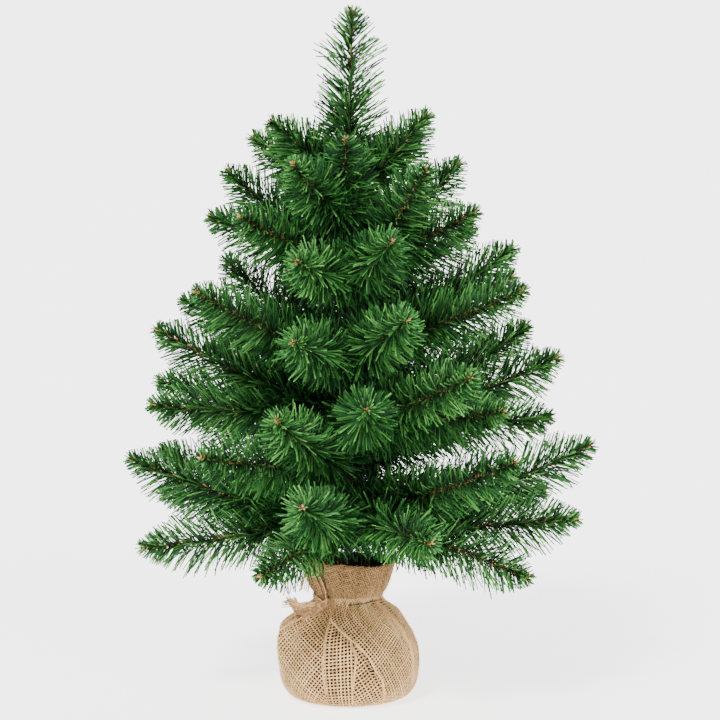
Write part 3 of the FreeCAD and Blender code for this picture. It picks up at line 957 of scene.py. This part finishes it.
def fold_edges(rng):
    """The doubled edge of each fold: three yarns along it, the outer ones turned in under it."""
    lines = []
    for fold, (line, _) in enumerate(FOLDS):
        heights = np.linspace(line[0][1], line[-1][1], EDGE_STEPS)
        azimuths = seam_azimuth(fold, heights)
        distances = np.array([height_distance(height) for height in heights])
        points, normals = sack_surface((azimuths + 180) / 360, distances)
        ahead, _ = sack_surface((azimuths + 1 + 180) / 360, distances)
        inward = unit(ahead - points)
        for step, depth in ((0.7, 0.1), (-0.2, 0.5), (-0.7, 1.2)):
            lines.append(points + step * inward - depth * normals)
    lines = np.array(lines) + rng.normal(0, 0.1, (len(lines), EDGE_STEPS, 3))
    points, quads = tubes(lines, 0.6, 6)
    tone = np.repeat(np.clip(rng.normal(0.5, 0.12, len(lines)), 0, 1), EDGE_STEPS * 6)
    return points, quads, {"tone": tone}


def make_sack(materials, rng):
    """Open jute cloth gathered round the weight: real yarns over a dark sheet of painted shade."""
    warps, wefts = zip(*[panel_yarns(panel, rng) for panel in PANELS])
    collar_warps, collar_wefts = collar_yarns(rng)
    pieces = []
    for name, groups in (
        ("sack_body_warps", [*warps, fold_edges(rng)]), ("sack_body_wefts", wefts),
        ("sack_collar_warps", [collar_warps]), ("sack_collar_wefts", [collar_wefts]),
    ):
        points, quads, values = join(*groups)
        pieces.append(to_mesh(name, points, quads, materials["yarn"], **values))
    make_shade_sheet(materials, pieces, rng)


def make_shade_sheet(materials, pieces, rng):
    """A sheet under the cloth's yarns that is painted shade: it shows dark between the body's yarns and
    under the folds, tan in the collar, where the cloth lies double, and darkens down inside the rim.
    """
    round_steps, up_steps = SHADE_SHEET_SIDES, 150
    turn, distance = np.meshgrid(np.arange(round_steps) / round_steps,
                                 np.linspace(0, section_length(), up_steps), indexing="ij")
    points, _ = sack_surface(turn, distance, SHADE_SHEET_DEPTH)
    past_rim = distance > rim_distance()
    height = section_at(distance)[..., 1]
    # Painted shade: very dark under the body's yarns, tan from the neck up into the collar, where the cloth
    # lies double, and dark again down inside the rim.
    tone = 0.10 + 0.45 * smoothstep(NECK_HEIGHT - 6, COLLAR_FOOT, height)
    tone = np.where(past_rim, 0.4 * smoothstep(114, 121, height), tone)
    points, tone = np.swapaxes(points, 0, 1), np.swapaxes(tone, 0, 1)
    shade_sheet = to_mesh("sack_shade_sheet", points, grid_quads(up_steps, round_steps, closed=True), materials["shade_sheet"],
                    tone=tone)
    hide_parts("burlap_sack")
    foot = make_foot_patch(materials)
    threads = make_loose_threads(materials)
    fuzz = make_fuzz(materials, rng)
    on_cloth = [*pieces, foot, threads, fuzz]
    for piece in (shade_sheet, *on_cloth):
        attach(piece, "base")


def make_foot_patch(materials):
    """The cloth's gathered centre under the weight."""
    rings, sides = 12, 64
    radius = np.linspace(0.5, 25, rings)[:, None]
    angle = ring_angles(sides)[None]
    height = 0.75 + 0.35 * np.cos(radius * 2 * math.pi / FOOT_PITCH) * np.ones_like(angle)
    points = np.stack([radius * np.cos(angle), radius * np.sin(angle), height], -1)
    return to_mesh("sack_foot", points, grid_quads(rings, sides, closed=True), materials["yarn"],
                   tone=np.full(rings * sides, 0.45))


def surface_line(turns_and_distances, steps, lift):
    """A smooth line that lies on the cloth through a few places on it."""
    places = np.array(turns_and_distances, float)
    knots = np.linspace(0, 1, len(places))
    shares = np.linspace(0, 1, steps)
    window = np.hanning(15)[1:-1] / np.hanning(15).sum()
    margin = len(window) // 2
    smooth = []
    for column in (0, 1):
        padded = np.pad(np.interp(shares, knots, places[:, column]), margin, mode="edge")
        smooth.append(np.convolve(padded, window, "same")[margin:-margin])
    points, normals = sack_surface(*smooth)
    return points + lift * normals


def height_distance(height):
    """How far up the section the outside of the cloth reaches a height."""
    distances = np.linspace(0, rim_distance(), 2000)
    return distances[np.argmax(section_at(distances)[:, 1] >= height)]


def cloth_place(azimuth, height):
    """An azimuth and a height as a turn and a distance along the section."""
    return ((azimuth + 180) / 360, height_distance(height))


def make_loose_threads(materials):
    """Single threads that lie loose on the cloth."""
    lines = np.array([
        surface_line([cloth_place(*place) for place in line], THREAD_STEPS, 1.3) for line in LOOSE_THREADS
    ])
    lines = lines + 0.25 * np.sin(np.linspace(0, 14, THREAD_STEPS))[None, :, None]
    points, quads = tubes(lines, 0.22, 5)
    return to_mesh("sack_threads", points, quads, materials["strip"],
                   tone=np.full(len(points), 0.75))


def make_fuzz(materials, rng):
    """Fine fibres that stand out of the yarns, most of them on the collar."""
    count = FUZZ_COUNT
    turn = rng.random(count)
    low, high = height_distance(10), rim_distance() + 2
    distance = np.where(rng.random(count) < COLLAR_FUZZ_SHARE, rng.uniform(height_distance(88), high, count),
                        rng.uniform(low, high, count))
    roots, normals = sack_surface(turn, distance)
    side, lift = across(normals)
    spin = rng.uniform(0, 2 * math.pi, count)[:, None]
    ways = unit(normals * rng.uniform(0.15, 0.8, count)[:, None] + np.cos(spin) * side + np.sin(spin) * lift)
    lengths = rng.uniform(1.5, 4.5, count)
    points, quads, _ = strips(roots + 0.5 * normals, ways, lengths, np.full(count, 0.14), rng, 14, 0)
    tone = np.clip(rng.normal(0.75, 0.2, count), 0, 1)
    return to_mesh("sack_fuzz", points, quads, materials["strip"], tone=per_point(tone, points))


def make_neck_thread(materials):
    """The thin dark thread in the crease of the neck: on the surface at the front right, sunk in the
    gathers elsewhere."""
    turns = np.linspace(0, 1, 300)[:-1]
    azimuth = turns * 360 - 180
    shown = smoothstep(-100, -86, azimuth) * (1 - smoothstep(-40, -20, azimuth))
    wander = height_distance(NECK_HEIGHT) + 0.8 * np.sin(turns * 2 * math.pi * 3)
    line, normals = sack_surface(turns, wander)
    line = line + (0.65 * shown - 1.6 * (1 - shown))[:, None] * normals
    points, quads = tubes(np.concatenate([line, line[:2]])[None], 0.5, 8)
    thread = to_mesh("neck_thread", points, quads, materials["thread"])
    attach(thread, "base")
    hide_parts("neck_binding")


# Knotted strip


STRAND_RADIUS = 0.45
KNOT_CENTRE = (-24.0, -27.0, NECK_HEIGHT)
# The knot's bundles: places from its centre, width, yarns, the share that frays and how far that flares.
KNOT_BUNDLES = [
    ([(3, -2, 0), (-5, -2.5, -3), (-13, 0, -5), (-20, 3, -5), (-24, 5, 0), (-26, 6, 4)], 8, 9, 0.12, 0.5),
    ([(2, -2, -1), (-6, -2, -1), (-13, 0, -1.5), (-19, 3, -3), (-25, 5, -1), (-31, 7, 2)], 6, 8, 0.2, 0.6),
    ([(1, -3, -2), (-6, -3, -7), (-12, -1, -11), (-17, 3, -12)], 7, 8, 0.1, 0.2),
    ([(2, -2, 2), (-1, -1, 10), (-4, 1, 18), (-8, 3, 25), (-13, 4, 22), (-16, 5, 11)], 5, 6, 0.3, 0.9),
    ([(3, -2, 1), (2, -1, 9), (-1, 1, 18), (-5, 3, 25)], 5, 6, 0.1, 0.0),
    ([(-6, 0, 5), (-3, -3.5, 3), (1, -4.5, -1), (4, -2, -6)], 6, 8, 0.0, 0.0),
    ([(-6, 0, -5), (-2, -4.5, -2), (2, -4.5, 1), (7, -1.5, 2)], 6, 8, 0.0, 0.0),
]
# The strip's way round the neck, in degrees from behind to the knot.
WRAP_AZIMUTHS = np.linspace(75, 225, 8)
WRAP_STEPS = 160


def smooth_line(places, steps):
    """A smooth line through a few places, as a Catmull-Rom spline."""
    places = np.array(places, float)
    padded = np.concatenate([[2 * places[0] - places[1]], places, [2 * places[-1] - places[-2]]])
    t = np.linspace(0, len(places) - 1, steps)
    index = np.clip(t.astype(int), 0, len(places) - 2)
    t = (t - index)[:, None]
    p0, p1, p2, p3 = (padded[index + k] for k in range(4))
    return 0.5 * (2 * p1 + (p2 - p0) * t + (2 * p0 - 5 * p1 + 4 * p2 - p3) * t ** 2
                  + (3 * p1 - p0 - 3 * p2 + p3) * t ** 3)


def strand_bundle(places, width, strands, rng, fray=0.0, flare=0.0, steps=40):
    """A burlap strip as its yarns: they run side by side across the width, cross yarns tie them, and the
    last part frays apart."""
    middle = smooth_line(places, steps)
    forward = unit(np.gradient(middle, axis=0))
    side = unit(np.cross(forward, np.cross(UP, forward)))
    up = np.cross(forward, side)
    share = np.linspace(0, 1, steps)
    offsets = np.linspace(-0.5, 0.5, strands)
    opening = 1 + flare * smoothstep(1 - fray, 1.0, share) if fray else np.ones(steps)
    lines = []
    for offset in offsets:
        wave = 0.35 * np.sin(share * 30 + rng.uniform(0, 6)) + 0.25 * np.sin(share * 17 + rng.uniform(0, 6))
        loose = smoothstep(1 - fray, 1, share) * rng.normal(0, 2.2) if fray else 0 * share
        lines.append(middle + side * (offset * width * opening + loose * 0.6)[:, None]
                     + up * (wave + loose)[:, None])
    points, quads = tubes(np.array(lines), STRAND_RADIUS * rng.uniform(0.8, 1.15, (strands, steps)), 6)
    tone = np.clip(np.repeat(rng.normal(0.42, 0.3, strands), steps * 6), 0, 1)
    parts = [(points, quads, {"tone": tone})]
    crossings = int(steps * (1 - fray))
    cross_lines = []
    for row in range(1, crossings, 2):
        sweep = np.linspace(-0.55, 0.55, 9)[:, None] * width
        ripple = 0.45 * np.sin(np.linspace(0, strands * math.pi, 9) + row * math.pi)[:, None]
        cross_lines.append(middle[row] + side[row] * sweep + up[row] * ripple)
    if cross_lines:
        points, quads = tubes(np.array(cross_lines), 0.5, 5)
        tone = np.clip(np.repeat(rng.normal(0.5, 0.15, len(cross_lines)), 9 * 5), 0, 1)
        parts.append((points, quads, {"tone": tone}))
    return join(*parts)


def make_knot(materials, rng):
    """The burlap strip knotted at the front left of the neck, with its two frayed ends."""
    parts = []
    for places, width, strands, fray, flare in KNOT_BUNDLES:
        parts.append(strand_bundle(np.add(places, KNOT_CENTRE), width, strands, rng, fray, flare))
    parts.append(strand_bundle(neck_wrap(), 6, 6, rng, steps=WRAP_STEPS))
    points, quads, values = join(*parts)
    knot = to_mesh("knot_strip", points, quads, materials["strip"], **values)
    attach(knot, "base")
    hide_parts("burlap_knot")


def neck_wrap():
    """The strip round the left half of the neck, from behind into the knot."""
    places = []
    for azimuth in WRAP_AZIMUTHS:
        point, normal = sack_surface(np.array([((azimuth + 180) / 360) % 1]),
                                     np.array([height_distance(NECK_HEIGHT)]))
        places.append(point[0] + 1.6 * normal[0])
    return places


# Carried-over CAD nodes


def finish_cad_nodes(materials):
    """Materials for the CAD nodes that are shown as they are."""
    for node, material in (
        ("weight_tub", "tub"), ("weight_block", "cement"), ("trunk_socket", "socket"),
        ("trunk_rod", "steel"), ("branch_ties", "wire"), ("branch_tails", "wire"),
    ):
        mesh = frame["nodes"][node].data
        mesh.materials.clear()
        mesh.materials.append(materials[material])


# Floor and light


FLOOR_HALF = 40000.0
FLOOR_HEIGHT = -0.2
ROOM_STRENGTH = 0.7
# Azimuth and elevation in degrees, strength, and spread in degrees.
LIGHTS = {
    "key_light": (-115, 45, 4.6, 14),
    "fill_light": (-60, 25, 1.8, 40),
    "rim_light": (100, 40, 1.0, 50),
}


def make_floor(materials):
    signs = ((-1, -1), (1, -1), (1, 1), (-1, 1))
    corners = [(x * FLOOR_HALF, y * FLOOR_HALF, FLOOR_HEIGHT) for x, y in signs]
    floor = to_mesh("floor", corners, [(0, 1, 2, 3)], materials["floor"])


def make_light():
    """A bright even room, a soft key light from the front left, a weaker fill from the front right and a
    faint light from behind."""
    world = bpy.data.worlds.new("studio")
    world.use_nodes = True
    world.node_tree.nodes["Background"].inputs["Color"].default_value = (1, 1, 1, 1)
    world.node_tree.nodes["Background"].inputs["Strength"].default_value = ROOM_STRENGTH
    bpy.context.scene.world = world
    for name, (azimuth, elevation, strength, spread) in LIGHTS.items():
        data = bpy.data.lights.new(name, "SUN")
        data.energy = strength
        data.angle = math.radians(spread)
        light = bpy.data.objects.new(name, data)
        bpy.context.scene.collection.objects.link(light)
        a, e = math.radians(azimuth), math.radians(elevation)
        toward = Vector((math.cos(a) * math.cos(e), math.sin(a) * math.cos(e), math.sin(e)))
        light.rotation_mode = "QUATERNION"
        light.rotation_quaternion = toward.to_track_quat("Z", "Y")


make_camera()
materials = make_materials()
lowest = min(joint["pos_m"][2] for joint in frame["joints"]) / MM
for number, joint in enumerate(frame["joints"]):
    generator = np.random.default_rng(SEED + number)
    if joint["child"] == "leader":
        make_leader(joint, materials, generator)
    else:
        make_branch(joint, lowest, materials, generator)
make_trunk(materials)
make_sack(materials, np.random.default_rng(SEED + 100))
make_neck_thread(materials)
make_knot(materials, np.random.default_rng(SEED + 200))
finish_cad_nodes(materials)
make_floor(materials)
make_light()
